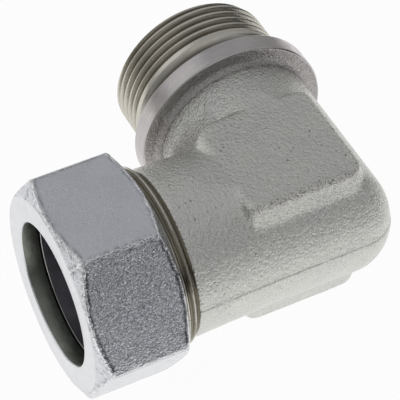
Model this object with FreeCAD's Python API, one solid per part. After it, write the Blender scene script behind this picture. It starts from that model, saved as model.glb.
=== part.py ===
import FreeCAD, Part
import math
import os

V = FreeCAD.Vector

# All sizes are in millimetres. The origin is where the axes of the two arms cross.
# The tube arm points along -Y, the stud arm along -X and the spanner pads face up and down.
# Along an arm, a "reach" is the distance from the origin.

# Forged elbow
arm_radius = 20.4              # round arms beside the spanner pads
flared_radius = 21.0           # tube arm where its machined end begins
flare_start_reach = 12.0       # tube arm starts to widen here
tube_arm_reach = 34.6          # end of the forged tube arm
corner_radius = 10.3           # outer corner seen from above
crotch_radius = 5.0            # inner corner between the arms
crotch_web_height = 17.5       # top of the web, hidden in the spanner pad
crotch_web_bands = 3           # cones in the web's hollow, on each side of the middle
shoulder_bevel = 0.6           # soft edge at the end of the forged tube arm
turned_overlap = 3.0           # turned ends reach this far into the forging
parting_height = 1.1           # where the two dies met
die_mismatch = 0.25            # the lower half stands out by this much

# Spanner pads, one above and one below
pad_across = 40.0              # across the two pads
pad_reach_stud_side = 16.4     # from the tube axis towards the stud
pad_reach_outer_x = 13.8       # from the tube axis to the outer edge
pad_reach_tube_side = 18.0     # from the stud axis towards the tube
pad_reach_outer_y = 12.2       # from the stud axis to the outer edge
pad_corner_radius = 3.0
pad_outer_corner_radius = 5.0  # corner over the outer corner of the forging
pad_crotch_corner_radius = 5.5 # corner over the crotch of the arms
pad_draft = 3.7                # how far a wall leans out down to the middle
pad_edge_bevel = 0.8           # soft rim of the flat
pad_runout_slope = 9.0         # length over which the flat fades out into 1 mm of crown
pad_runout_rise = 1.75         # ends above the crown of the arms

# Screw thread of the tube end, M45 x 2, and the 24 degree cone inside it
tube_thread_radius = 22.5
tube_end_reach = 49.0
tube_thread_start = 35.9
tube_runout_radius = 20.8
tube_runout_slope = 0.6        # length of the slope into the thread for 1 mm of rise
tube_thread_chamfer = 1.0
tube_radius = 17.5             # tube of 35 mm that the fitting is made for
tube_play = 0.15               # gap round the tube
cone_mouth_radius = 19.0
cone_half_angle = 12.0
tube_stop_depth = 10.5

# Bores, one along each arm, with the blunt cone of the drill at their ends
flow_radius = 15.0
drill_dip = 0.8                # the tip of each drill dips this far into the far wall
drill_tip_radius = 3.0
drill_point_angle = 118.0

# Collar and stud, G 1 1/4 pipe thread
collar_below_flat = 0.3        # collar stays this far under the nut's flats
collar_back_reach = 29.8
collar_face_reach = 35.0
collar_neck_bevel = 1.2        # cone in place of the hollow behind the collar
stud_thread_radius = 20.955
stud_relief_radius = 19.3
stud_relief_slope = 1.2        # length of the slope into the thread for 1 mm of rise
stud_thread_start = 40.4
stud_end_reach = 54.2
stud_end_chamfer = 1.3

# Union nut, 50 mm across flats in name and 49.6 mm as rolled
nut_wall = 2.3                 # steel between the thread and a flat
nut_corner_radius = 2.5
nut_length = 23.9
nut_lead = 13.6                # nut stands out past the tube end by this much
nut_chamfer_inset = 0.7        # chamfers start this far inside the flats
nut_chamfer_angle = 30.0
nut_thread_play = 0.08         # gap between the two thread cylinders
nut_hole_radius = 17.75
nut_countersink = 0.7
nut_cone_start = 4.4           # length of the plain hole at the front

# Cutting ring
ring_inner_radius = 17.65
ring_play = 0.12               # gap to the cone of the nut
ring_length = 11.4
ring_rim_radius = 18.2         # outer edge of the rear rim
ring_front_radius = 18.15
ring_front_taper = 9.0
ring_belt_radius = 20.9
ring_belt_width = 1.6
ring_belt_slope = 0.6          # length of the step from the tapered front to the belt

# Places shared by several pieces
nut_flat_height = tube_thread_radius + nut_wall
nut_across_flats = 2 * nut_flat_height
nut_chamfer_circle = nut_flat_height - nut_chamfer_inset
collar_radius = nut_flat_height - collar_below_flat
nut_front_reach = tube_end_reach + nut_lead


def place(arm, reach, radius):
    """Point above an arm's axis."""
    if arm == "tube":
        return V(0, -reach, radius)
    return V(-reach, 0, radius)


def turned(arm, profile):
    """Solid turned about an arm's axis from (reach, radius) corners."""
    corners = [place(arm, reach, radius) for reach, radius in profile]
    outline = Part.makePolygon(corners + corners[:1])
    return Part.Face(outline).revolve(V(0, 0, 0), place(arm, 1, 0), 360)


def frustum(low, high, bottom, top):
    """Block on a rectangle at the bottom and another at the top, as (x0, x1, y0, y1)."""
    block = Part.makeWedge(low[0], bottom, -low[3], -high[3], high[0],
                           low[1], top, -low[2], -high[2], high[1])
    block.rotate(V(0, 0, 0), V(1, 0, 0), 90)
    return block


def tube_arm(extra):
    """Forged arm towards the tube, widening a little towards its end."""
    inner = corner_radius - arm_radius
    return turned("tube", [
        (inner, 0),
        (inner, arm_radius + extra),
        (flare_start_reach, arm_radius + extra),
        (tube_arm_reach - shoulder_bevel, flared_radius + extra),
        (tube_arm_reach, flared_radius + extra - shoulder_bevel),
        (tube_arm_reach, 0),
    ])


def stud_arm(extra):
    """Forged arm towards the stud."""
    inner = corner_radius - arm_radius
    return turned("stud", [
        (inner, 0),
        (inner, arm_radius + extra),
        (collar_back_reach, arm_radius + extra),
        (collar_back_reach, 0),
    ])


def outer_corner(extra):
    """The arms' outer sides carried round the corner without a ridge."""
    radius = arm_radius + extra
    inner = arm_radius - corner_radius
    height = math.sqrt(radius ** 2 - inner ** 2)
    top = V(inner, inner, height)
    bottom = V(inner, inner, -height)
    bulge = Part.Arc(top, V(radius, inner, 0), bottom).toShape()
    section = Part.Face(Part.Wire([bulge, Part.makeLine(bottom, top)]))
    return section.revolve(V(inner, inner, 0), V(0, 0, 1), 90)


def crotch_web(extra):
    """Web between the arms, hollowed to the inner radius of the dies in bands."""
    radius = arm_radius + extra
    centre = -(radius + crotch_radius)
    height = crotch_web_height
    rise = math.asin(height / radius)
    corners = [V(centre, centre, height), V(centre, centre, -height)]
    for band in range(-crotch_web_bands, crotch_web_bands + 1):
        angle = rise * band / crotch_web_bands
        corners.append(V(-radius * math.cos(angle), centre, radius * math.sin(angle)))
    section = Part.Face(Part.makePolygon(corners + corners[:1]))
    hollow = section.revolve(V(centre, centre, 0), V(0, 0, 1), 360)
    side = -centre - radius * math.cos(rise) / 2
    block = Part.makeBox(side, side, 2 * height, V(centre, centre, -height))
    return block.cut(hollow)


def forging_half(extra, upper):
    """Arms, corner and web on one side of the parting plane."""
    whole = tube_arm(extra).fuse([stud_arm(extra), outer_corner(extra), crotch_web(extra)])
    size = 4 * tube_end_reach
    base = parting_height if upper else parting_height - size
    return whole.common(Part.makeBox(size, size, size, V(-size / 2, -size / 2, base)))


def pad_rectangle(spread):
    """Sides of the pad's rectangle, let out by some distance."""
    return (-pad_reach_stud_side - spread, pad_reach_outer_x + spread,
            -pad_reach_tube_side - spread, pad_reach_outer_y + spread)


def leaning_edge(pad, x, y):
    """Edge of the pad that runs down from its corner at x, y."""
    corner = V(x, y, pad_across / 2)
    leaning = [e for e in pad.Edges if e.BoundBox.ZLength > pad_across / 4]
    return min(leaning, key=lambda e: min(v.Point.distanceToPoint(corner) for v in e.Vertexes))


def spanner_pad():
    """Flat on the top, its walls leaning out down to the middle of the arms."""
    top = pad_across / 2
    x0, x1, y0, y1 = pad_rectangle(0)
    pad = frustum(pad_rectangle(pad_draft), pad_rectangle(0), 0, top)
    pad = pad.makeFillet(pad_outer_corner_radius, [leaning_edge(pad, x1, y1)])
    pad = pad.makeFillet(pad_corner_radius, [leaning_edge(pad, x1, y0), leaning_edge(pad, x0, y1)])
    pad = pad.makeFillet(pad_crotch_corner_radius, [leaning_edge(pad, x0, y0)])
    rim = [e for e in pad.Edges if e.BoundBox.ZMin > top - 0.01]
    return pad.makeChamfer(pad_edge_bevel, rim)


def pad_clearance():
    """Space over a pad that fades out over the crown of the arms."""
    top = pad_across / 2
    runout = pad_runout_slope * pad_runout_rise
    return frustum(pad_rectangle(0), pad_rectangle(runout), top, top + pad_runout_rise)


def mirrored(shape):
    """The same shape below the plane of the axes."""
    return shape.mirror(V(0, 0, 0), V(0, 0, 1))


def forged_elbow():
    """The forging as the two dies left it, with a pad above and one below."""
    body = forging_half(0, True).fuse(forging_half(die_mismatch, False))
    space = pad_clearance()
    pad = spanner_pad()
    body = body.cut([space, mirrored(space)])
    return body.fuse([pad, mirrored(pad)])


def threaded_tube_end():
    """Turned tube end, its thread at the full diameter of the crests."""
    groove_end = tube_thread_start - (tube_thread_radius - tube_runout_radius) * tube_runout_slope
    return turned("tube", [
        (tube_arm_reach - turned_overlap, 0),
        (tube_arm_reach - turned_overlap, tube_runout_radius),
        (groove_end, tube_runout_radius),
        (tube_thread_start, tube_thread_radius),
        (tube_end_reach - tube_thread_chamfer, tube_thread_radius),
        (tube_end_reach, tube_thread_radius - tube_thread_chamfer),
        (tube_end_reach, 0),
    ])


def collar_and_stud():
    """Turned collar with its sealing face, thread relief and stud."""
    relief_end = stud_thread_start - (stud_thread_radius - stud_relief_radius) * stud_relief_slope
    return turned("stud", [
        (collar_back_reach - collar_neck_bevel, 0),
        (collar_back_reach - collar_neck_bevel, arm_radius),
        (collar_back_reach, arm_radius + collar_neck_bevel),
        (collar_back_reach, collar_radius),
        (collar_face_reach, collar_radius),
        (collar_face_reach, stud_relief_radius),
        (relief_end, stud_relief_radius),
        (stud_thread_start, stud_thread_radius),
        (stud_end_reach - stud_end_chamfer, stud_thread_radius),
        (stud_end_reach, stud_thread_radius - stud_end_chamfer),
        (stud_end_reach, 0),
    ])


def drilled(arm, end_reach):
    """Straight bore from the end of an arm past the crossing of the axes."""
    tip = flow_radius + drill_dip
    point = (flow_radius - drill_tip_radius) / math.tan(math.radians(drill_point_angle / 2))
    return turned(arm, [
        (end_reach + 1, 0),
        (end_reach + 1, flow_radius),
        (point - tip, flow_radius),
        (-tip, drill_tip_radius),
        (-tip, 0),
    ])


def tube_seat():
    """Cone and socket that take the tube and the ring."""
    socket_radius = tube_radius + tube_play
    slope = math.tan(math.radians(cone_half_angle))
    cone_depth = (cone_mouth_radius - socket_radius) / slope
    return turned("tube", [
        (tube_end_reach + 1, 0),
        (tube_end_reach + 1, cone_mouth_radius + slope),
        (tube_end_reach - cone_depth, socket_radius),
        (tube_end_reach - tube_stop_depth, socket_radius),
        (tube_end_reach - tube_stop_depth, 0),
    ])


def elbow_body():
    """Forged and machined elbow."""
    outside = forged_elbow().fuse([threaded_tube_end(), collar_and_stud()])
    inside = drilled("tube", tube_end_reach).fuse(drilled("stud", stud_end_reach))
    return outside.cut([inside, tube_seat()]).removeSplitter()


def hexagon(across, radius, start_reach, length):
    """Six-sided bar about the tube arm, one flat on top, its corners rounded."""
    corner = across / math.sqrt(3)
    corners = []
    for step in range(6):
        turn = math.radians(30 + 60 * step)
        corners.append(V(corner * math.sin(turn), -start_reach, corner * math.cos(turn)))
    bar = Part.Face(Part.makePolygon(corners + corners[:1])).extrude(V(0, -length, 0))
    along = [e for e in bar.Edges if abs(e.tangentAt(e.FirstParameter).y) > 0.9]
    return bar.makeFillet(radius, along)


def union_nut():
    """Nut with chamfered ends, cone for the ring and its thread at the crests' size."""
    rear = nut_front_reach - nut_length
    past_corners = nut_across_flats / math.sqrt(3) + 1
    rise = (past_corners - nut_chamfer_circle) * math.tan(math.radians(nut_chamfer_angle))
    blank = turned("tube", [
        (rear, 0),
        (rear, nut_chamfer_circle),
        (rear + rise, past_corners),
        (nut_front_reach - rise, past_corners),
        (nut_front_reach, nut_chamfer_circle),
        (nut_front_reach, 0),
    ])
    bar = hexagon(nut_across_flats, nut_corner_radius, rear, nut_length)
    thread_radius = tube_thread_radius + nut_thread_play
    cone_reach = nut_front_reach - nut_cone_start
    inside = turned("tube", [
        (nut_front_reach + 1, 0),
        (nut_front_reach + 1, nut_hole_radius),
        (cone_reach, nut_hole_radius),
        (cone_reach - (thread_radius - nut_hole_radius), thread_radius),
        (rear + nut_countersink, thread_radius),
        (rear - 1, thread_radius + nut_countersink + 1),
        (rear - 1, 0),
    ])
    return bar.common(blank).cut(inside)


def cutting_ring():
    """Ring with a tapered front, a belt and a 45 degree rear cone that rests in the nut."""
    nut_cone_tip = nut_front_reach - nut_cone_start + nut_hole_radius
    ring_cone_tip = nut_cone_tip - ring_play * math.sqrt(2)
    rim_reach = ring_cone_tip - ring_rim_radius
    front_reach = rim_reach - ring_length
    belt_rear = ring_cone_tip - ring_belt_radius
    belt_front = belt_rear - ring_belt_width
    taper_end = belt_front - ring_belt_slope
    taper_rise = (taper_end - front_reach) * math.tan(math.radians(ring_front_taper))
    outside = turned("tube", [
        (front_reach, 0),
        (front_reach, ring_front_radius),
        (taper_end, ring_front_radius + taper_rise),
        (belt_front, ring_belt_radius),
        (belt_rear, ring_belt_radius),
        (rim_reach, ring_rim_radius),
        (rim_reach, 0),
    ])
    inside = turned("tube", [
        (front_reach - 1, 0),
        (front_reach - 1, ring_inner_radius),
        (rim_reach + 1, ring_inner_radius),
        (rim_reach + 1, 0),
    ])
    return outside.cut(inside)


os.makedirs("parts", exist_ok=True)
elbow_body().exportStep("parts/elbow_body.step")
union_nut().exportStep("parts/union_nut.step")
cutting_ring().exportStep("parts/cutting_ring.step")
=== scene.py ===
import bmesh
import bpy
import math
import numpy as np
from mathutils import Matrix, Vector, noise


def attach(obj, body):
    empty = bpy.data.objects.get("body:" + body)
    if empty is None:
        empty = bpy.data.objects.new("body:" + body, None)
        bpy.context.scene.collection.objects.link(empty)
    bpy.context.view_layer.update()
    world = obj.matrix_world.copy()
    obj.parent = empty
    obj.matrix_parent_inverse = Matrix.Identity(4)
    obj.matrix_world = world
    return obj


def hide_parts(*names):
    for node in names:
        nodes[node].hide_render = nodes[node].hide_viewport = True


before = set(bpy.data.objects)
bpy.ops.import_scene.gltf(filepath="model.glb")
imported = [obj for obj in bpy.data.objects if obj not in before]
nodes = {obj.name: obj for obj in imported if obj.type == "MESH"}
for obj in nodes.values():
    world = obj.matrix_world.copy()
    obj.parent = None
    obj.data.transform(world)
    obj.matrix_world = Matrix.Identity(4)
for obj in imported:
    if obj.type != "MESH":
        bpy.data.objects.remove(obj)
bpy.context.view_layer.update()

# The fitting lies on its side. Reaches and radii are in millimetres, as in a turner's drawing:
# a reach runs along an arm's axis from the point where both axes cross.
MM = 0.001
ROUND = 200                    # steps round a turned surface
SAME_CORNER = 2e-7             # corners closer than this, in metres, are one
SLIVER = 1e-7                  # edges shorter than this, in metres, are dropped

# Forging and bores
STUD_ARM_CUT = 28.6            # the forged skin ends here, inside the collar
TUBE_ARM_CUT = 34.5            # and here, at the tube end's shoulder
SHOULDER_RADIUS = 20.3         # the shoulder runs in to this radius
SKIN_STEP = 0.45               # step of the softened skin; edges round off over a few steps
BORE_RADIUS = 15.0
BORE_SKIN = 15.03              # corners within this radius lie on a bore
DRILL_DEPTH = 15.9             # corners past this, beyond the crossing, lie on no bore
STUD_MOUTH = 53.7              # reach of the stud's mouth behind its edge break
PARTING_HEIGHT = 1.1           # plane where the dies met, above the axes

# Spanner pads, seen from above, and the height from which the forging belongs to one
PAD_ROUND_CENTRE = (9.8, 8.2)
PAD_ROUND = 4.0
PAD_STUD_SIDE = -15.5
PAD_TUBE_SIDE = -17.6
PAD_FOOT = 18.4

# Tube end, M45 x 2
TUBE_PITCH = 2.0
TUBE_CREST = 36.45             # reach of a crest straight above the axis
TUBE_DEPTH = 1.227
TUBE_CREST_RADIUS = 22.5
TUBE_THREAD_START = 34.8
TUBE_NECK_RADIUS = 20.75
TUBE_END = 49.0
TUBE_END_RADIUS = 21.2

# Stud, G 1 1/4, eleven threads to the inch
STUD_PITCH = 2.309
STUD_CREST = 44.35
STUD_DEPTH = 1.479
STUD_CREST_RADIUS = 20.955
STUD_THREAD_START = 41.4
STUD_END = 54.2
STUD_END_RADIUS = 19.4

# Nut
NUT_FLAT = 24.8                # from the axis to a flat
NUT_REAR = 38.7
NUT_FRONT = 62.6
NUT_LENGTH = 23.9
NUT_CORNER_LOSS = 0.42         # taken off the sharp corner by pressing
NUT_CHAMFER_CIRCLE = 24.1
NUT_CHAMFER_SLOPE = math.tan(math.radians(30))
NUT_THREAD_START = 39.3
NUT_THREAD_END = 53.4
NUT_THREAD_DEPTH = 1.1
NUT_SINK_RADIUS = 22.9         # countersink at the rear
NUT_CONE_RADIUS = 22.55        # wide end of the cone that pushes the ring
NUT_ROOT_RADIUS = 22.62
NUT_HOLE_RADIUS = 17.75
NUT_FACE_RADIUS = 23.4         # rim of the turned faces

# How far wear and painted edge light fade out from a pad's rim, from the nut's corners and from
# its chamfers
RIM_FADE = 0.75
CORNER_FADE = 0.55
CHAMFER_FADE = 0.45

# Turned profiles, as (reach, radius)
TUBE_NECK = [(33.0, 20.7), (TUBE_THREAD_START, TUBE_NECK_RADIUS)]
TUBE_FACE = [(TUBE_END, TUBE_END_RADIUS), (TUBE_END, 19.3)]
CONE_AND_SOCKET = [(TUBE_END, 19.3), (48.7, 18.94), (42.65, 17.65), (38.5, 17.65),
                   (38.5, BORE_RADIUS)]
COLLAR = [(29.8, 24.1), (29.88, 24.32), (30.2, 24.5), (30.4, 24.5), (34.5, 24.5), (34.7, 24.5),
          (34.93, 24.4), (35.0, 24.15), (35.0, 23.9), (35.0, 22.5), (34.6, 22.1), (34.6, 19.7)]
RELIEF = [(34.6, 19.7), (35.0, 19.3), (39.4, 19.3), (40.4, 20.8), (40.6, STUD_CREST_RADIUS),
          (STUD_THREAD_START, STUD_CREST_RADIUS)]
STUD_FACE = [(STUD_END, STUD_END_RADIUS), (STUD_END, 19.2), (STUD_END, 15.5),
             (STUD_MOUTH, BORE_RADIUS)]
NUT_FACE = [(NUT_FRONT, NUT_FACE_RADIUS), (NUT_FRONT, 18.35), (62.5, 17.95),
            (62.2, NUT_HOLE_RADIUS)]
RING_OUTSIDE = [(46.18, 17.65), (46.18, 18.1), (46.25, 18.17), (52.6, 19.17), (53.2, 20.85),
                (53.33, 20.9), (54.8, 20.9), (54.95, 20.83), (57.45, 18.32), (57.58, 18.1),
                (57.58, 17.8), (57.45, 17.65)]
RING_HOLE = [(57.45, 17.65), (46.18, 17.65)]

# Finishes of the elbow's and the nut's faces
FORGED, MACHINED, STUD_THREAD, TUBE_THREAD, COARSE, INSIDE = range(6)
PRESSED, FRONT, NUT_THREAD, HOLE = range(4)


def linear(code):
    """Linear colour of an sRGB hex code."""
    parts = [int(code[i:i + 2], 16) / 255 for i in (1, 3, 5)]
    return [c / 12.92 if c <= 0.04045 else ((c + 0.055) / 1.055) ** 2.4 for c in parts] + [1.0]


def placed(name, data):
    """New object in the scene."""
    piece = bpy.data.objects.new(name, data)
    bpy.context.scene.collection.objects.link(piece)
    return piece


def arm_points(arm, reach, radius, angle):
    """Points round an arm, the angle counted from straight up, in metres."""
    side = radius * np.sin(angle)
    up = radius * np.cos(angle)
    if arm == "tube":
        return np.stack([side, -reach + 0 * side, up], -1) * MM
    return np.stack([-reach + 0 * side, -side, up], -1) * MM


class Skin:
    """Collects surfaces that are joined into one mesh."""

    def __init__(self):
        self.points = []
        self.faces = []
        self.finishes = []

    def grid(self, rows, finish, wrap=0):
        """Rows of points closed round; wrap is how many rows a turn climbs."""
        base = len(self.points)
        count, columns = rows.shape[:2]
        self.points.extend(map(tuple, rows.reshape(-1, 3)))
        for i in range(count - 1):
            for j in range(columns):
                k = (j + 1) % columns
                low, high = (i, i + 1) if k else (max(i - wrap, 0), max(i + 1 - wrap, 0))
                self.faces.append([base + i * columns + j, base + (i + 1) * columns + j,
                                   base + high * columns + k, base + low * columns + k])
                self.finishes.append(finish)

    def mesh(self, name):
        """The surfaces as one mesh."""
        mesh = bpy.data.meshes.new(name)
        mesh.from_pydata(self.points, [], self.faces)
        mesh.polygons.foreach_set("material_index", self.finishes)
        return mesh


def turned(skin, arm, profile, finish):
    """Turned surface through the corners of a profile."""
    angle = np.arange(ROUND) * 2 * np.pi / ROUND
    rows = [arm_points(arm, reach, radius, angle) for reach, radius in profile]
    skin.grid(np.array(rows), finish)


def threaded(skin, arm, start, end, pitch, crest, steps, shape, ends, finish):
    """Screw thread whose rows follow the helix; shape gives the radius at a phase and a reach."""
    angle = np.arange(ROUND) * 2 * np.pi / ROUND
    count = int(math.ceil((end - start) / pitch + 1) * steps) + 1
    rows = []
    for i in range(count):
        reach = start + pitch * (i / steps) - pitch * angle / (2 * np.pi)
        phase = ((start - crest) / pitch + i / steps) % 1.0
        radius = shape(phase, reach)
        radius = np.where(reach <= start, ends[0], np.where(reach >= end, ends[1], radius))
        rows.append(arm_points(arm, np.clip(reach, start, end), radius, angle))
    skin.grid(np.array(rows), finish, wrap=steps)


def crest_and_root(phase, crest_width, root_width):
    """Depth of a thread's groove from 0 on the crest to 1 at the root, its corners rounded."""
    away = min(phase, 1 - phase)
    share = (away - crest_width / 2) / (0.5 - crest_width / 2 - root_width / 2)
    share = min(max(share, 0.0), 1.0)
    return share * share * (3 - 2 * share) * 0.35 + share * 0.65


def tube_thread(phase, reach):
    """M45 x 2 on the blank with its run-out and end chamfer."""
    blank = np.interp(reach, [TUBE_THREAD_START, 35.1, 36.4, 47.75, TUBE_END],
                      [TUBE_NECK_RADIUS, TUBE_NECK_RADIUS, TUBE_CREST_RADIUS,
                       TUBE_CREST_RADIUS, TUBE_END_RADIUS])
    depth = TUBE_DEPTH * crest_and_root(phase, 0.16, 0.14)
    return np.minimum(blank, TUBE_CREST_RADIUS - depth)


def stud_thread(phase, reach):
    """Pipe thread that fades out in the land beside the relief."""
    blank = np.interp(reach, [STUD_THREAD_START, 52.7, STUD_END],
                      [STUD_CREST_RADIUS, STUD_CREST_RADIUS, STUD_END_RADIUS])
    fade = np.clip((reach - 41.5) / 0.8, 0, 1)
    depth = STUD_DEPTH * crest_and_root(phase, 0.14, 0.2)
    return np.minimum(blank, STUD_CREST_RADIUS - depth * fade)


def nut_thread(phase, reach):
    """The nut's own thread between its countersink and its cone."""
    blank = np.interp(reach, [NUT_THREAD_START, 40.4, 52.4, NUT_THREAD_END],
                      [NUT_SINK_RADIUS, 21.5, 21.5, NUT_CONE_RADIUS])
    filled = 1 - crest_and_root(1 - (phase + 0.5) % 1.0, 0.16, 0.2)
    groove = NUT_ROOT_RADIUS - NUT_THREAD_DEPTH * filled
    return np.maximum(blank, np.minimum(groove, NUT_ROOT_RADIUS))


def welded(cad):
    """Working copy of a solid's mesh with its shared corners joined."""
    work = bmesh.new()
    work.from_mesh(cad.data)
    bmesh.ops.remove_doubles(work, verts=work.verts, dist=1e-6)
    return work


def take_in(work, mesh):
    """Adds a mesh to the work and throws the mesh away."""
    work.from_mesh(mesh)
    bpy.data.meshes.remove(mesh)


def meshed(work, name):
    """Mesh of finished work."""
    mesh = bpy.data.meshes.new(name)
    work.to_mesh(mesh)
    work.free()
    return mesh


def in_bore(v):
    """Whether a corner lies on one of the two bores, as far as the drills went."""
    x, y, z = v.co / MM
    along_tube = math.hypot(x, z) < BORE_SKIN and y < DRILL_DEPTH
    along_stud = math.hypot(y, z) < BORE_SKIN and x < DRILL_DEPTH
    return along_tube or along_stud


def on_turned_end(v):
    """Whether a corner lies on the tube end, or on the collar or the stud."""
    return v.co.y < -34.95 * MM or v.co.x < -29.0 * MM


def cut_back(work, axis, reach):
    """Cuts everything off past a reach, and returns the edges of the cut."""
    normal = Vector((0, 0, 0))
    normal[axis] = -1.0
    everything = work.verts[:] + work.edges[:] + work.faces[:]
    cut = bmesh.ops.bisect_plane(work, geom=everything, dist=SLIVER, plane_co=normal * reach * MM,
                                 plane_no=normal, clear_outer=True)
    return [e for e in cut["geom_cut"] if isinstance(e, bmesh.types.BMEdge)]


def take_ends_off(work):
    """Takes the bores and the turned ends off the forging and closes what is left."""
    spare = [f for f in work.faces
             if all(in_bore(v) for v in f.verts) or any(on_turned_end(v) for v in f.verts)]
    bmesh.ops.delete(work, geom=spare, context="FACES")
    bmesh.ops.delete(work, geom=[v for v in work.verts if not v.link_faces], context="VERTS")
    rim = [e for e in work.edges if len(e.link_faces) == 1]
    bmesh.ops.holes_fill(work, edges=rim, sides=0)
    bmesh.ops.triangulate(work, faces=work.faces)


def softened(work):
    """The same shape with its edges softened as the dies leave them."""
    mesh = meshed(work, "forging")
    solid = placed("forging", mesh)
    remesh = solid.modifiers.new("remesh", "REMESH")
    remesh.mode = "VOXEL"
    remesh.voxel_size = SKIN_STEP * MM
    soften = solid.modifiers.new("soften", "SMOOTH")
    soften.factor = 0.5
    soften.iterations = 7
    seen = solid.evaluated_get(bpy.context.evaluated_depsgraph_get())
    soft = bmesh.new()
    soft.from_mesh(seen.to_mesh())
    seen.to_mesh_clear()
    bpy.data.objects.remove(solid)
    bpy.data.meshes.remove(mesh)
    return soft


def forged_skin(cad):
    """The forging without its turned ends, slightly swollen here and there."""
    work = welded(cad)
    take_ends_off(work)
    work = softened(work)
    cut_back(work, 0, STUD_ARM_CUT)
    shoulder = cut_back(work, 1, TUBE_ARM_CUT)
    work.normal_update()
    for v in work.verts:
        p = v.co / MM
        swell = 0.05 * noise.noise(p * 0.22) + 0.03 * noise.noise(p * 0.6)
        v.co += v.normal * swell * MM
    inner = bmesh.ops.extrude_edge_only(work, edges=shoulder)["geom"]
    for v in inner:
        if isinstance(v, bmesh.types.BMVert):
            shrink = SHOULDER_RADIUS * MM / math.hypot(v.co.x, v.co.z)
            v.co = Vector((v.co.x * shrink, v.co.y, v.co.z * shrink))
    return work


def bore_faces(cad):
    """The drilled bores where they meet, as the solid has them."""
    work = welded(cad)
    spare = [f for f in work.faces if not all(in_bore(v) for v in f.verts)]
    bmesh.ops.delete(work, geom=spare, context="FACES")
    cut_back(work, 0, STUD_MOUTH)
    return work


def collar_back():
    """Profile of the stud arm's neck and the collar's back, with the round between them."""
    neck_end, neck_radius, corner = 28.0, 22.0, 1.8
    profile = [(26.5, 20.0), (neck_end, neck_radius - corner)]
    for step in range(1, 9):
        turn = math.radians(90 * step / 8)
        profile.append((neck_end + corner * math.sin(turn), neck_radius - corner * math.cos(turn)))
    return profile + [(29.8, 23.9), (29.8, 24.1)]


def elbow_mesh(cad):
    """The whole elbow: forging, turned ends with their threads, and bores."""
    skin = Skin()
    turned(skin, "tube", TUBE_NECK, TUBE_THREAD)
    threaded(skin, "tube", TUBE_THREAD_START, TUBE_END, TUBE_PITCH, TUBE_CREST, 12, tube_thread,
             (TUBE_NECK_RADIUS, TUBE_END_RADIUS), TUBE_THREAD)
    turned(skin, "tube", TUBE_FACE, MACHINED)
    turned(skin, "tube", CONE_AND_SOCKET, INSIDE)
    turned(skin, "stud", collar_back(), COARSE)
    turned(skin, "stud", COLLAR, MACHINED)
    # The relief takes the thread's finish, so its groove is darkened by the same oil and painted
    # shade
    turned(skin, "stud", RELIEF, STUD_THREAD)
    threaded(skin, "stud", STUD_THREAD_START, STUD_END, STUD_PITCH, STUD_CREST, 14, stud_thread,
             (STUD_CREST_RADIUS, STUD_END_RADIUS), STUD_THREAD)
    turned(skin, "stud", STUD_FACE, MACHINED)
    work = bmesh.new()
    take_in(work, skin.mesh("turned ends"))
    bmesh.ops.remove_doubles(work, verts=work.verts, dist=SAME_CORNER)
    bmesh.ops.dissolve_degenerate(work, edges=work.edges, dist=SLIVER)
    for part, finish in ((forged_skin(cad), FORGED), (bore_faces(cad), INSIDE)):
        for f in part.faces:
            f.material_index = finish
        take_in(work, meshed(part, "piece"))
    return meshed(work, "elbow")


def past_flat(angle):
    """Angle from the middle of the nearest flat of the nut."""
    return (angle + math.pi / 6) % (math.pi / 3) - math.pi / 6


def hexagon_radius(angle):
    """Distance from the axis to the nut's flats at an angle from straight up."""
    return NUT_FLAT / np.cos(past_flat(angle))


def soft_least(a, b, width):
    """The smaller of two sizes, its edge rounded over a width."""
    share = np.clip(0.5 + 0.5 * (b - a) / width, 0, 1)
    return b + (a - b) * share - width * share * (1 - share)


def rolled(lumps, angle, gap):
    """Unevenness of a pressed edge, from -1 to 1; more lumps make it finer."""
    return noise.noise(Vector((lumps * math.sin(angle), lumps * math.cos(angle), gap)))


def ragged_by(mm, amount, scale):
    """Irregular distances in millimetres, one for each place."""
    return np.array([amount * noise.noise(Vector(p) * scale) for p in mm])


def nut_wear_and_edge_light(mm):
    """How worn the nut is at each place, which is also where painted shade and highlights go: most
    along its corners and its chamfers.
    """
    angle = np.arctan2(mm[:, 0], mm[:, 2])
    beside = NUT_FLAT * (math.tan(math.pi / 6) - np.abs(np.tan(past_flat(angle))))
    ragged = ragged_by(mm, 0.3, 0.7)
    wear_and_edge_light = np.exp(-np.maximum(beside + ragged, 0) / CORNER_FADE)
    for end in (NUT_REAR, NUT_FRONT):
        gap = np.abs(-mm[:, 1] - end)
        over = gap - (hexagon_radius(angle) - NUT_CHAMFER_CIRCLE) * NUT_CHAMFER_SLOPE
        wear_and_edge_light = np.maximum(wear_and_edge_light, np.exp(-np.abs(over - 0.2 + ragged) / CHAMFER_FADE))
    outside = np.hypot(mm[:, 0], mm[:, 2]) > 23.6
    return np.clip(wear_and_edge_light, 0, 1) * outside


def pad_wear_and_edge_light(mm):
    """How worn the forging is, which is also where painted highlights go: along the outer rim of
    each spanner pad.
    """
    x, y, z = mm.T
    past_x = np.maximum(x - PAD_ROUND_CENTRE[0], 0)
    past_y = np.maximum(y - PAD_ROUND_CENTRE[1], 0)
    across = np.hypot(past_x, past_y) - PAD_ROUND
    ragged = ragged_by(mm, 0.35, 0.6)
    rim = np.exp(-((across + 0.5 + ragged) / RIM_FADE) ** 2)
    return rim * (np.abs(z) > PAD_FOOT) * (y > PAD_TUBE_SIDE) * (x > PAD_STUD_SIDE)


def unmarked(mm):
    """No wear and no painted edge light anywhere."""
    return np.zeros(len(mm))


def nut_angles():
    """Angles round the nut, closer together beside its corners."""
    shares = np.concatenate([np.linspace(-1, -0.8, 12), np.linspace(-0.72, 0.72, 17),
                             np.linspace(0.8, 1, 12)[:-1]])
    return np.array([face * math.pi / 3 + share * math.pi / 6
                     for face in range(6) for share in shares])


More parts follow.
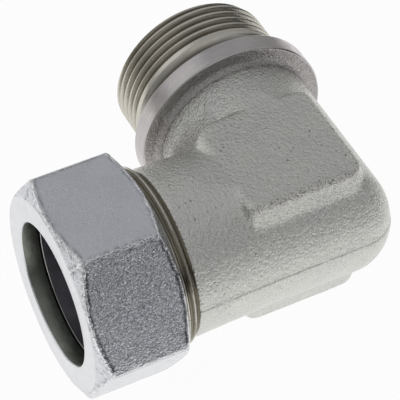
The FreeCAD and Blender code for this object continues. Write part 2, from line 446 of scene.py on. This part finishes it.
def nut_outside(angle):
    """Rows round the nut's outside: flats, rounded corners and uneven chamfers at both ends."""
    corner = NUT_FLAT / math.cos(math.pi / 6) - NUT_CORNER_LOSS
    flats = soft_least(hexagon_radius(angle), np.full_like(angle, corner), 0.5)
    depths = np.concatenate([np.linspace(0, 3.2, 21), np.linspace(3.7, 20.2, 16),
                             np.linspace(20.7, NUT_LENGTH, 21)])
    rows = []
    for depth in depths:
        radius = flats
        for gap in (depth, NUT_LENGTH - depth):
            uneven = np.array([0.22 * rolled(9, a, gap) + 0.16 * rolled(26, a, gap)
                               for a in angle])
            limit = NUT_CHAMFER_CIRCLE + gap / NUT_CHAMFER_SLOPE
            radius = soft_least(radius, limit + uneven, 0.45)
        rows.append(arm_points("tube", NUT_REAR + depth, radius, angle))
    return np.array(rows)


def nut_mesh():
    """Nut with soft, slightly uneven edges, its thread and its cone."""
    angle = nut_angles()
    outside = nut_outside(angle)

    def ring(reach, radius):
        return arm_points("tube", reach, np.full_like(angle, radius), angle)

    face = [outside[-1]] + [ring(reach, radius) for reach, radius in NUT_FACE]
    shell = Skin()
    shell.grid(outside, PRESSED)
    shell.grid(np.array(face), FRONT)
    shell.grid(np.array([face[-1], ring(58.2, NUT_HOLE_RADIUS),
                         ring(NUT_THREAD_END, NUT_CONE_RADIUS)]), HOLE)
    shell.grid(np.array([ring(NUT_THREAD_START, NUT_SINK_RADIUS),
                         ring(NUT_REAR, NUT_FACE_RADIUS), outside[0]]), FRONT)
    work = bmesh.new()
    take_in(work, shell.mesh("nut shell"))
    bmesh.ops.remove_doubles(work, verts=work.verts, dist=SAME_CORNER)

    inner = Skin()
    threaded(inner, "tube", NUT_THREAD_START, NUT_THREAD_END, TUBE_PITCH, TUBE_CREST, 12,
             nut_thread, (NUT_SINK_RADIUS, NUT_CONE_RADIUS), NUT_THREAD)
    thread = bmesh.new()
    take_in(thread, inner.mesh("nut thread"))
    bmesh.ops.remove_doubles(thread, verts=thread.verts, dist=SAME_CORNER)
    bmesh.ops.dissolve_degenerate(thread, edges=thread.edges, dist=SLIVER)
    bmesh.ops.reverse_faces(thread, faces=thread.faces)
    take_in(work, meshed(thread, "nut thread"))
    return meshed(work, "nut")


def ring_mesh():
    """Cutting ring, its rear rim broken by a small round."""
    skin = Skin()
    turned(skin, "tube", RING_OUTSIDE, 0)
    turned(skin, "tube", RING_HOLE, 1)
    return skin.mesh("ring")


def dressed(name, mesh, body, node, materials, crisp, wear_and_edge_light):
    """Object for one piece, with its wear and painted edge light, and the finishes that its faces
    name.
    """
    places = np.empty(3 * len(mesh.vertices))
    mesh.vertices.foreach_get("co", places)
    edge_marks = wear_and_edge_light(places.reshape(-1, 3) / MM)
    mesh.attributes.new("wear_and_edge_light", "FLOAT", "POINT").data.foreach_set("value", edge_marks)
    piece = placed(name, mesh)
    for material in materials:
        mesh.materials.append(material)
    mesh.shade_smooth()
    mesh.set_sharp_from_angle(angle=math.radians(crisp))
    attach(piece, body)
    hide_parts(node)


def add(tree, kind, inputs=None, **settings):
    """Adds a node with its settings, and joins or sets its inputs."""
    node = tree.nodes.new(kind)
    for name, value in settings.items():
        setattr(node, name, value)
    for name, value in (inputs or {}).items():
        if isinstance(value, bpy.types.NodeSocket):
            tree.links.new(value, node.inputs[name])
        else:
            node.inputs[name].default_value = value
    return node


def reckon(tree, operation, *values):
    """Result of a sum on numbers."""
    return add(tree, "ShaderNodeMath", dict(enumerate(values)), operation=operation).outputs[0]


def ramp(tree, value, start, end, low=0.0, high=1.0):
    """Runs evenly from low to high while a value goes from start to end."""
    return add(tree, "ShaderNodeMapRange", {"Value": value, "From Min": start, "From Max": end,
                                            "To Min": low, "To Max": high}).outputs[0]


def blend(tree, share, first, second):
    """Mixes two colours; the share is that of the second."""
    return add(tree, "ShaderNodeMix", {0: share, 6: first, 7: second},
               data_type="RGBA").outputs[2]


def millimetres(tree):
    """Place on the object in millimetres."""
    place = add(tree, "ShaderNodeTexCoord")
    scale = add(tree, "ShaderNodeVectorMath", {0: place.outputs["Object"], "Scale": 1000.0},
                operation="SCALE")
    return scale.outputs[0]


def mottle(tree, mm, size, detail):
    """Soft irregular pattern whose patches have a size in millimetres."""
    return add(tree, "ShaderNodeTexNoise", {"Vector": mm, "Scale": 1 / size, "Detail": detail,
                                            "Roughness": 0.6}).outputs["Fac"]


def pitting(tree, mm, pits, fine, patch):
    """Ragged pits, crowded in some patches: 1 inside a pit and 0 outside."""
    spacing, share = pits[:2]
    cells = add(tree, "ShaderNodeTexVoronoi", {"Vector": mm, "Scale": 1 / spacing})
    ragged = reckon(tree, "MULTIPLY_ADD", fine, 0.25, cells.outputs["Distance"])
    pit = ramp(tree, ragged, share, share + 0.1, 1.0, 0.0)
    crowd = ramp(tree, patch, 0.42, 0.58, 0.15)
    return reckon(tree, "MULTIPLY", pit, crowd)


def rubbed_and_highlit_edges(tree, tone, wear_and_edge_light, fine, dirt_and_shade, bare_and_highlight):
    """Edges rubbed bare, and painted bright as a highlight, in some places, and bruised dark in
    others.
    """
    bruise = ramp(tree, fine, 0.34, 0.46)
    return blend(tree, wear_and_edge_light, tone, blend(tree, bruise, dirt_and_shade, bare_and_highlight))


def pressed_flat(tree, wear_and_edge_light, fine):
    """Height of the grain, which rolling has pressed flat beside an edge."""
    calm = ramp(tree, wear_and_edge_light, 0.06, 0.3, 1.0, 0.1)
    swing = reckon(tree, "SUBTRACT", fine, 0.5)
    return reckon(tree, "MULTIPLY", swing, calm)


def painted_rim_shade(tree, tone, wear_and_edge_light, thick, dirt_and_shade, rim_shade):
    """Painted shade just inside a rolled edge, here more and there less."""
    inner = ramp(tree, wear_and_edge_light, 0.05, 0.25)
    outer = ramp(tree, wear_and_edge_light, 0.3, 0.55, rim_shade, 0.0)
    band = reckon(tree, "MULTIPLY", inner, outer)
    patchiness = ramp(tree, thick, 0.52, 0.84)
    return blend(tree, reckon(tree, "MULTIPLY", band, patchiness), tone, dirt_and_shade)


def tool_rings(tree, mm, stretch):
    """Fine rings left by the turning tool."""
    along = add(tree, "ShaderNodeVectorMath", {0: mm, 1: stretch}, operation="MULTIPLY")
    return add(tree, "ShaderNodeTexNoise", {"Vector": along.outputs[0], "Scale": 1.0,
                                            "Detail": 3.0}).outputs["Fac"]


def oil_and_groove_shade(tree, tone, mm, oil_and_shade):
    """Oil and dust in the grooves of a thread, up to the crests, together with painted shade in
    the grooves.
    """
    across, root, crest, colour = oil_and_shade
    flat = add(tree, "ShaderNodeVectorMath", {0: mm, 1: across}, operation="MULTIPLY")
    radius = add(tree, "ShaderNodeVectorMath", {0: flat.outputs[0]}, operation="LENGTH")
    toward_crest = ramp(tree, radius.outputs["Value"], root, crest)
    return blend(tree, toward_crest, linear(colour), tone)


def parting_crease(tree, mm, patch, height):
    """Crease where the dies met, broken here and there: 1 along its middle."""
    split = add(tree, "ShaderNodeSeparateXYZ", {0: mm})
    wander = reckon(tree, "MULTIPLY_ADD", patch, 0.5, split.outputs["Z"])
    off = reckon(tree, "ABSOLUTE", reckon(tree, "SUBTRACT", wander, height + 0.25))
    line = ramp(tree, off, 0.04, 0.24, 1.0, 0.0)
    firm = ramp(tree, patch, 0.3, 0.5, 0.35)
    return reckon(tree, "MULTIPLY", line, firm)


def metal(name, colours, rough, grain, dimples, pits, flecks, oil_and_shade=None, parting=None,
          tool=None, rim_shade=0.0):
    """Plated steel. Sizes, heights and depths are in millimetres.

    The colours are those of its darker and paler patches, its dirt, which also serves as painted
    shade, and its bare edges, which also serve as painted highlights. Grain and dimples have a
    size and a height, pits a spacing, a share of it and a depth, and flecks a size and a
    threshold. rough runs from the hollows of the dimples to their rims. Optional settings add
    painted shade just inside rolled edges, and oil with painted shade in a thread's grooves.
    """
    material = bpy.data.materials.new(name)
    material.use_nodes = True
    tree = material.node_tree
    shader = tree.nodes["Principled BSDF"]
    shader.inputs["Metallic"].default_value = 1.0
    low, high, dirt_and_shade, bare_and_highlight = [linear(code) for code in colours]
    mm = millimetres(tree)
    cloud = mottle(tree, mm, 9.0, 4.0)
    fine = mottle(tree, mm, grain[0], 2.0)
    fleck = mottle(tree, mm, flecks[0], 3.0)
    patch = mottle(tree, mm, 4.0, 2.0)
    dents = add(tree, "ShaderNodeTexVoronoi", {"Vector": mm, "Scale": 1 / dimples[0]},
                feature="SMOOTH_F1").outputs["Distance"]
    pit = pitting(tree, mm, pits, fine, patch)

    # Flecks lie thicker in some patches than in others
    thick = reckon(tree, "MULTIPLY_ADD", patch, 0.35, fleck)
    spots = ramp(tree, thick, flecks[1], flecks[1] + 0.06)

    wear_and_edge_light = add(tree, "ShaderNodeAttribute", attribute_name="wear_and_edge_light").outputs["Fac"]
    # Worn edges show bare colour, which also paints the highlights along them, and dark bruises
    tone = rubbed_and_highlit_edges(tree, blend(tree, cloud, low, high), wear_and_edge_light, fine, dirt_and_shade, bare_and_highlight)
    knocks = reckon(tree, "MULTIPLY", wear_and_edge_light, fine)
    grain_height = fine
    # With a rim shade the grain is pressed flat beside the edges, and a band of painted shade lies
    # just inside them
    if rim_shade:
        grain_height = pressed_flat(tree, wear_and_edge_light, fine)
        tone = painted_rim_shade(tree, tone, wear_and_edge_light, thick, dirt_and_shade, rim_shade)
    layers = [(grain_height, grain[1]), (dents, dimples[1]), (pit, -pits[2]), (knocks, 0.2),
              (wear_and_edge_light, 0.14)]
    if tool:
        rings = tool_rings(tree, mm, tool[0])
        layers.append((rings, tool[1]))
        shine = ramp(tree, rings, 0.35, 0.65, 0.82)
        tone = add(tree, "ShaderNodeVectorMath", {0: tone, "Scale": shine},
                   operation="SCALE").outputs[0]
    # Oil and painted shade darken a thread's grooves
    if oil_and_shade:
        tone = oil_and_groove_shade(tree, tone, mm, oil_and_shade)
    if parting:
        crease = parting_crease(tree, mm, patch, parting)
        layers.append((crease, -0.08))
        tone = blend(tree, reckon(tree, "MULTIPLY", crease, 0.4), tone, dirt_and_shade)

    dark = reckon(tree, "MAXIMUM", spots, reckon(tree, "MULTIPLY", pit, 0.65))
    tree.links.new(blend(tree, dark, tone, dirt_and_shade), shader.inputs["Base Color"])
    tree.links.new(ramp(tree, dents, 0.3, 0.7, *rough), shader.inputs["Roughness"])
    height = 0.0
    for layer, amount in layers:
        height = reckon(tree, "MULTIPLY_ADD", layer, amount, height)
    bump = add(tree, "ShaderNodeBump", {"Height": height, "Distance": MM, "Strength": 1.0})
    tree.links.new(bump.outputs[0], shader.inputs["Normal"])
    return material


# Zinc plating on a shot-blasted forging: matt, warm pale grey, dimpled all over
forged_zinc = metal("blasted_zinc_forging", ("#d2d2cf", "#e2e1da", "#67635c", "#e8e6e0"),
                    rough=(0.27, 0.38), grain=(0.45, 0.32), dimples=(0.8, 0.18),
                    pits=(2.5, 0.15, 0.16), flecks=(1.5, 0.9), parting=PARTING_HEIGHT)
# Zinc plating on turned steel: smoother, with tool marks and a faint violet cast
turned_zinc = metal("turned_zinc_plate", ("#bdb8b9", "#d4cfcd", "#7d767d", "#e6e4e2"),
                    rough=(0.24, 0.34), grain=(0.4, 0.02), dimples=(2.5, 0.03),
                    pits=(2.2, 0.14, 0.01), flecks=(1.0, 0.95), tool=((5.0, 0.12, 0.12), 0.03))
# Face behind the collar, turned coarsely and dull between the tool marks; its darker colour is
# partly painted shade between collar and arm
coarse_zinc = metal("coarsely_turned_zinc", ("#a6a2a1", "#c6c2c0", "#57534f", "#d6d2ce"),
                    rough=(0.3, 0.4), grain=(0.5, 0.4), dimples=(1.2, 0.2),
                    pits=(1.0, 0.2, 0.05), flecks=(0.9, 0.88))
# Threads: pale crests, and a thin brown film of oil in the grooves that also paints their shade
cut_thread = dict(colours=("#c4c0b5", "#d9d5cb", "#67625a", "#e4e0d6"), rough=(0.24, 0.32),
                  grain=(0.6, 0.01), dimples=(2.0, 0.02), pits=(2.2, 0.1, 0.01),
                  flecks=(1.0, 0.95))
stud_zinc = metal("stud_thread_zinc", oil_and_shade=((0, 1, 1), 19.4, 20.7, "#69635a"), **cut_thread)
tube_zinc = metal("tube_thread_zinc", oil_and_shade=((1, 0, 1), 20.9, 22.3, "#706a5c"), **cut_thread)
# Hot-pressed nut: bluish plating over a rough skin, with painted shade just inside its rolled
# edges and painted highlights along its worn edges
nut_zinc = metal("pressed_zinc_nut", ("#ced0d6", "#dfe1e6", "#3d3e45", "#f0f0f2"),
                 rough=(0.08, 0.15), grain=(0.45, 0.2), dimples=(1.0, 0.07),
                 pits=(2.6, 0.1, 0.05), flecks=(1.1, 0.93), rim_shade=0.5)
# Turned front of the nut: bright, almost white
front_zinc = metal("nut_front_zinc", ("#dcdde0", "#ebebed", "#85868c", "#f0f0f1"),
                   rough=(0.3, 0.4), grain=(0.5, 0.05), dimples=(2.0, 0.05),
                   pits=(2.0, 0.12, 0.01), flecks=(1.0, 0.95))
# Hole of the nut: dull grey-green, painted dark as the shade inside the hole
mouth_zinc = metal("shaded_nut_hole", ("#7a7e75", "#8c9087", "#4c4e48", "#9a9b95"),
                   rough=(0.34, 0.44), grain=(0.6, 0.05), dimples=(2.0, 0.05),
                   pits=(2.0, 0.14, 0.01), flecks=(1.0, 0.9))
# Insides: smooth, and painted darker as the shade inside the bores
inside_zinc = metal("shaded_inside", ("#98969d", "#adabb2", "#55545c", "#9a9b95"),
                    rough=(0.36, 0.46), grain=(0.6, 0.03), dimples=(2.0, 0.03),
                    pits=(2.0, 0.14, 0.01), flecks=(1.0, 0.95))

dressed("forged_elbow", elbow_mesh(nodes["elbow_body"]), "elbow", "elbow_body",
        [forged_zinc, turned_zinc, stud_zinc, tube_zinc, coarse_zinc, inside_zinc], 50, pad_wear_and_edge_light)
dressed("hexagon_nut", nut_mesh(), "nut", "union_nut",
        [nut_zinc, front_zinc, tube_zinc, mouth_zinc], 40, nut_wear_and_edge_light)
dressed("tapered_ring", ring_mesh(), "ring", "cutting_ring",
        [turned_zinc, inside_zinc], 40, unmarked)

# Pale floor under the nut's lower flat. Seen or reflected it is white by its own glow; the rest
# is lit paper, which keeps the shadow
FLOOR_HALF = 200               # half the floor's width
GLOW_SHARE = 0.96
half = FLOOR_HALF * MM
level = -NUT_FLAT * MM
floor_mesh = bpy.data.meshes.new("floor")
floor_mesh.from_pydata([(-half, -half, level), (half, -half, level), (half, half, level),
                        (-half, half, level)], [], [(0, 1, 2, 3)])
floor = placed("floor", floor_mesh)
paper = bpy.data.materials.new("white_paper")
paper.use_nodes = True
tree = paper.node_tree
tree.nodes.clear()
matt = add(tree, "ShaderNodeBsdfDiffuse", {"Color": linear("#f4f4f4")})
glow = add(tree, "ShaderNodeEmission", {"Color": linear("#ffffff"), "Strength": 1.0})
path = add(tree, "ShaderNodeLightPath").outputs
straight = reckon(tree, "MAXIMUM", path["Is Camera Ray"], path["Is Glossy Ray"])
shown = reckon(tree, "MAXIMUM", straight, path["Is Transmission Ray"])
share = reckon(tree, "MULTIPLY", shown, GLOW_SHARE)
mixed = add(tree, "ShaderNodeMixShader", {0: share, 1: matt.outputs[0], 2: glow.outputs[0]})
add(tree, "ShaderNodeOutputMaterial", {"Surface": mixed.outputs[0]})
floor_mesh.materials.append(paper)

# Grey studio: soft ceiling, grey wall on the left with a pale strip low in front of the stud,
# dark wall on the right
world = bpy.data.worlds.new("studio")
bpy.context.scene.world = world
world.use_nodes = True
tree = world.node_tree
tree.nodes.clear()
way = add(tree, "ShaderNodeTexCoord").outputs["Generated"]
upward = add(tree, "ShaderNodeSeparateXYZ", {0: way}).outputs["Z"]


def toward(wall):
    """How far the way points to a wall."""
    return add(tree, "ShaderNodeVectorMath", {0: way, 1: wall},
               operation="DOT_PRODUCT").outputs["Value"]


ahead = ramp(tree, toward((-0.45, -0.9, 0.0)), 0.4, 0.9)
strip = reckon(tree, "MULTIPLY", ahead, ramp(tree, upward, -0.1, 0.08, 1.0, 0.0))
left = blend(tree, strip, (0.34, 0.34, 0.335, 1), (0.92, 0.92, 0.89, 1))
walls = blend(tree, ramp(tree, toward((0.95, 0.3, 0.0)), -0.2, 0.6), left,
              (0.05, 0.05, 0.053, 1))
room = blend(tree, ramp(tree, upward, 0.2, 0.46), walls, (0.43, 0.435, 0.445, 1))
path = add(tree, "ShaderNodeLightPath").outputs
seen = blend(tree, path["Is Camera Ray"], room, linear("#ffffff"))
sky = add(tree, "ShaderNodeBackground", {"Color": seen, "Strength": 1.0})
add(tree, "ShaderNodeOutputWorld", {"Surface": sky.outputs[0]})


def softbox(name, place, size, watts):
    """Square soft lamp aimed at the fitting."""
    light = bpy.data.lights.new(name, "AREA")
    light.shape = "SQUARE"
    light.size = size
    light.energy = watts
    light.color = linear("#ffffff")[:3]
    lamp = placed(name, light)
    lamp.location = place
    lamp.rotation_euler = (-Vector(place)).to_track_quat("-Z", "Y").to_euler()


softbox("key", (-0.9, -0.9, 1.1), 1.4, 2)
softbox("fill", (1.2, 0.3, 1.0), 1.2, 0.6)

# Camera as in the photograph, with a long lens; its place is in millimetres
AZIMUTH = math.radians(63.209)
ELEVATION = math.radians(47.633)
CAMERA_PLACE = (298.097, -174.613, 379.786)
LENS_PIXELS = 2133.195         # focal length in pixels of the photograph
PHOTO_WIDTH = 400
SENSOR_WIDTH = 36.0
back = Vector((math.sin(AZIMUTH) * math.cos(ELEVATION), -math.cos(AZIMUTH) * math.cos(ELEVATION),
               math.sin(ELEVATION)))
right = (-back).cross(Vector((0, 0, 1))).normalized()
up = right.cross(-back)
lens = bpy.data.cameras.new("camera")
lens.sensor_width = SENSOR_WIDTH
lens.lens = LENS_PIXELS / PHOTO_WIDTH * SENSOR_WIDTH
lens.clip_start = 0.01
lens.clip_end = 20.0
camera = placed("camera", lens)
turn = Matrix((right, up, back)).transposed().to_4x4()
camera.matrix_world = Matrix.Translation(Vector(CAMERA_PLACE) * MM) @ turn
bpy.context.scene.camera = camera
bpy.context.scene.view_settings.view_transform = "Standard"
